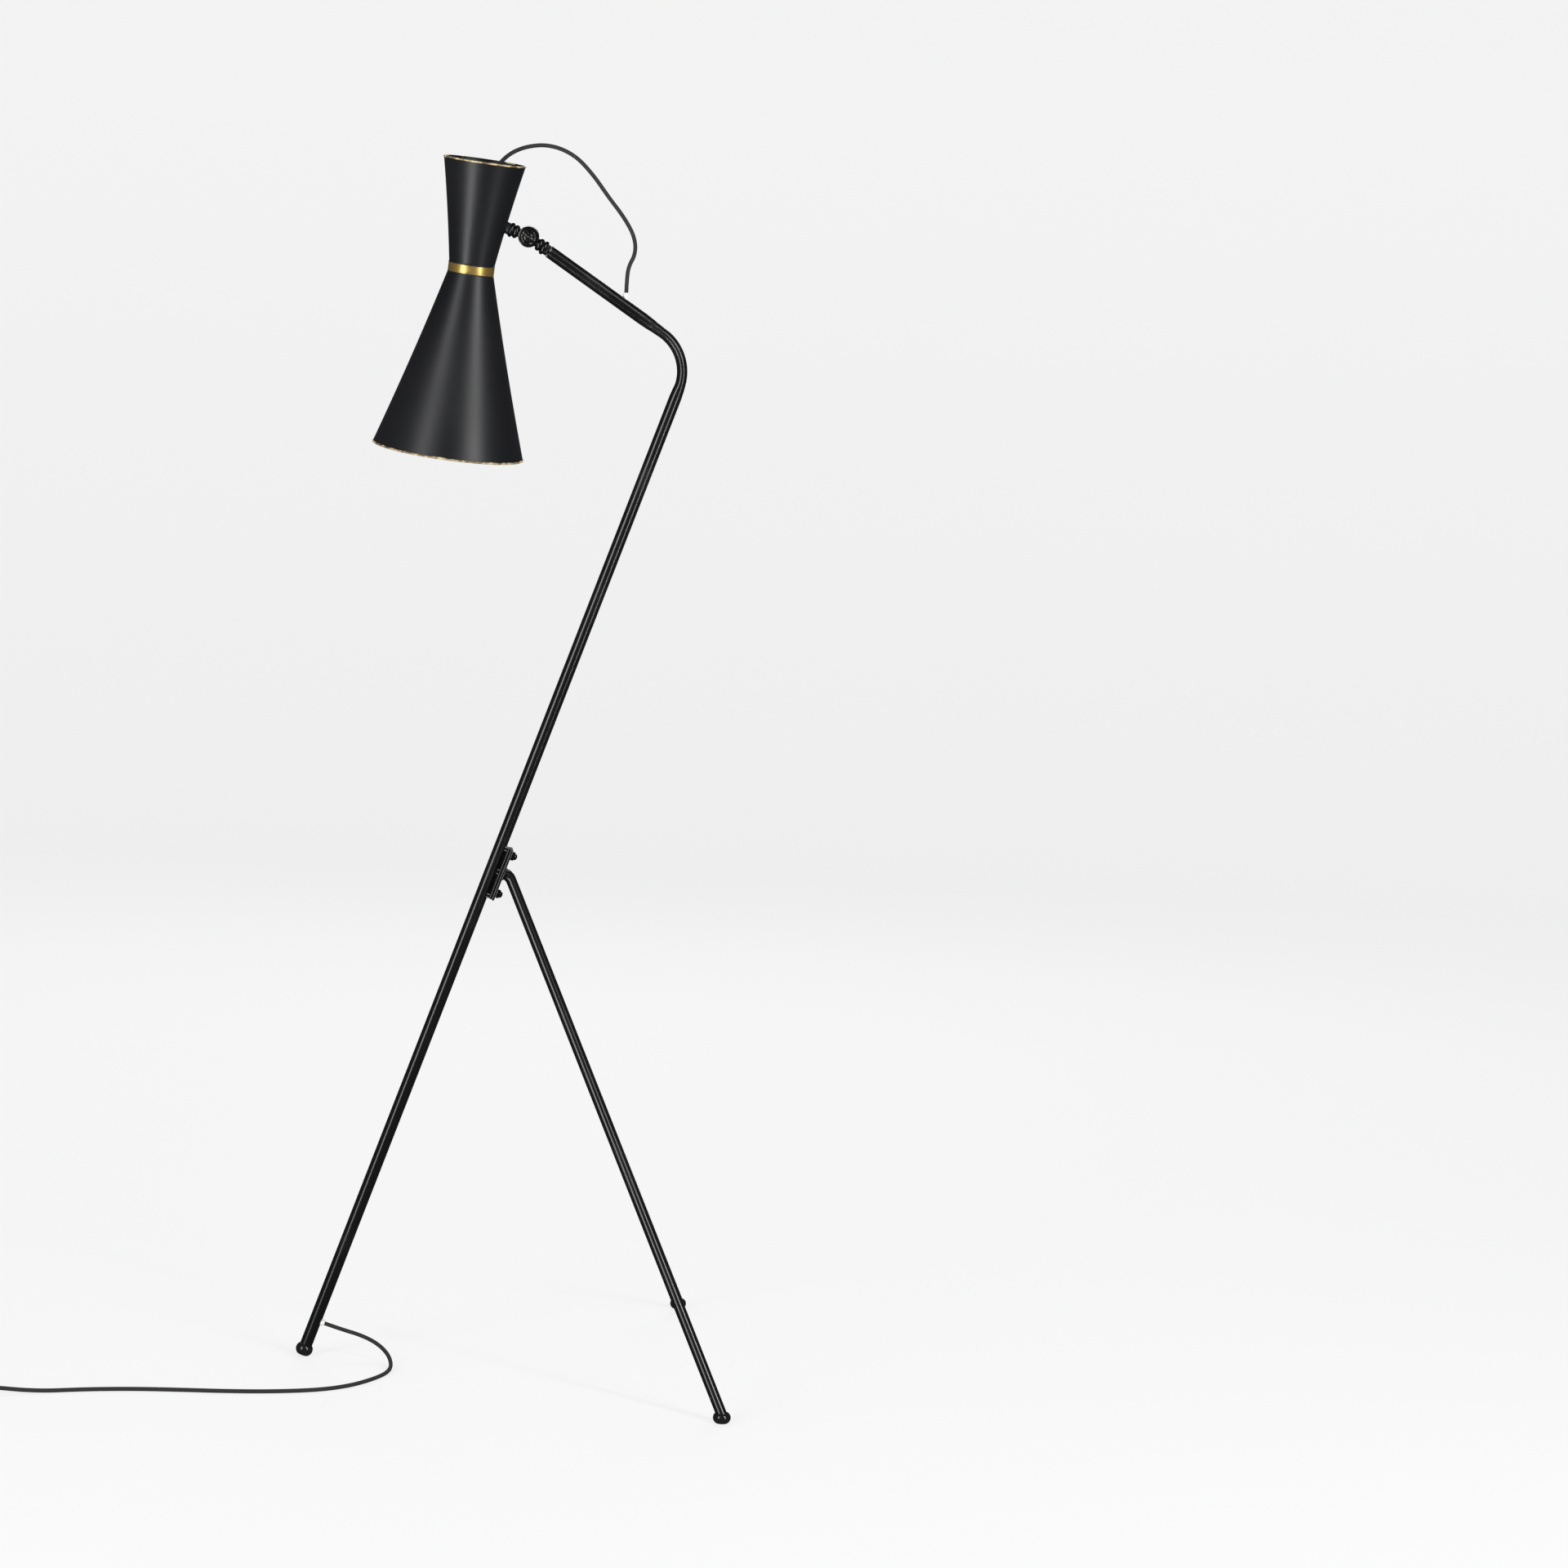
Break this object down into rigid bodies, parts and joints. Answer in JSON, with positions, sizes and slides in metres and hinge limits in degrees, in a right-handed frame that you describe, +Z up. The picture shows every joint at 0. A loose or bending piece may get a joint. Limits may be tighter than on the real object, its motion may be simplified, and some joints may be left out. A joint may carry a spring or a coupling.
{
  "type": "tripod floor lamp",
  "caption": "Tripod floor lamp: a bent tube is rear leg and arm, two splayed legs are bolted to it, and a waisted spun shade tilts on a knuckle at the arm's end.",
  "frame": {"origin": "on the floor, at the middle of the lamp's box without its free cords", "axes": "+Z up; +X from the stem's foot towards the two front legs; the stem and arm lie in the XZ plane, the legs spread to +Y and -Y"},
  "size_m": [1.1535, 0.6216, 1.5785],
  "materials": {
    "shade_paint": "satin black paint on spun aluminium, rims worn",
    "ring_brass": "worn, patinated",
    "tube_paint": "gloss black enamel, chipped",
    "fitting_black": "gloss black",
    "steel": "plain",
    "brass": "turned",
    "plated_brass": "nickel plated",
    "foot_rubber": "polished by wear",
    "boot_rubber": "matt",
    "collar_nylon": "translucent, aged",
    "cord_sheath": "smooth",
    "tie_strap": "matt",
    "plug_plastic": "fine grain",
    "switch_plastic": "semi gloss",
    "rocker_plastic": "gloss",
    "bakelite": "gloss",
    "porcelain": "glazed",
    "fibre": "vulcanised fibre",
    "cap_metal": "rolled thread",
    "opal_glass": "opal"
  },
  "bodies": {
    "stand": {"stem_tube": "tube_paint", "stem_foot": "foot_rubber", "arm_bush": "brass", "upper_collar": "collar_nylon", "lower_collar": "collar_nylon", "inner_lead": "cord_sheath", "clamp_bridge": "tube_paint", "leg_plate": "tube_paint", "front_leg": "tube_paint", "rear_leg": "tube_paint", "leg_feet": "foot_rubber", "clamp_bolts": "steel", "clamp_washers": "steel", "cap_nuts": "fitting_black", "head_cord": "cord_sheath", "mains_lead": "cord_sheath", "lead_tail": "cord_sheath", "lead_coil": "cord_sheath", "coil_ties": "tie_strap", "plug_lead": "cord_sheath", "plug_body": "plug_plastic", "plug_pins": "plated_brass", "switch_base": "switch_plastic", "switch_cover": "switch_plastic", "switch_screws": "steel", "switch_boots": "boot_rubber", "switch_contacts": "brass"},
    "swivel": {"knuckle_arm_half": "fitting_black", "swivel_nut": "steel", "knuckle_screw": "fitting_black", "ring_washer": "fitting_black", "friction_washer": "fibre", "knuckle_nut": "steel"},
    "head": {"knuckle_head_half": "fitting_black", "shade_washer": "steel", "shade_nut": "steel", "upper_cone": "shade_paint", "lower_cone": "shade_paint", "neck_ring": "ring_brass", "neck_disc": "steel", "holder_nipple": "brass", "nipple_nuts": "brass", "holder_cap": "bakelite", "holder_body": "bakelite", "holder_insert": "porcelain", "screw_shell": "brass", "centre_contact": "brass", "bulb_cap": "cap_metal", "bulb_glass": "opal_glass"},
    "rocker": {"switch_rocker": "rocker_plastic"}
  },
  "joints": [
    {"name": "head_swivel", "type": "hinge", "parent": "stand", "child": "swivel", "pos_m": [-0.024, 0, 1.45834], "axis": [0.8415, 0, -0.5402], "range_deg": [-98, 82], "deforming": ["head_cord"]},
    {"name": "head_tilt", "type": "hinge", "parent": "swivel", "child": "head", "pos_m": [-0.024, 0, 1.45834], "axis": [0.0755, 0.9902, 0.1176], "range_deg": [-35, 75], "deforming": ["head_cord"]},
    {"name": "switch_rock", "type": "hinge", "parent": "stand", "child": "rocker", "pos_m": [-0.726, -0.211, 0.0152], "axis": [0, 1, 0], "range_deg": [0, 12]}
  ]
}
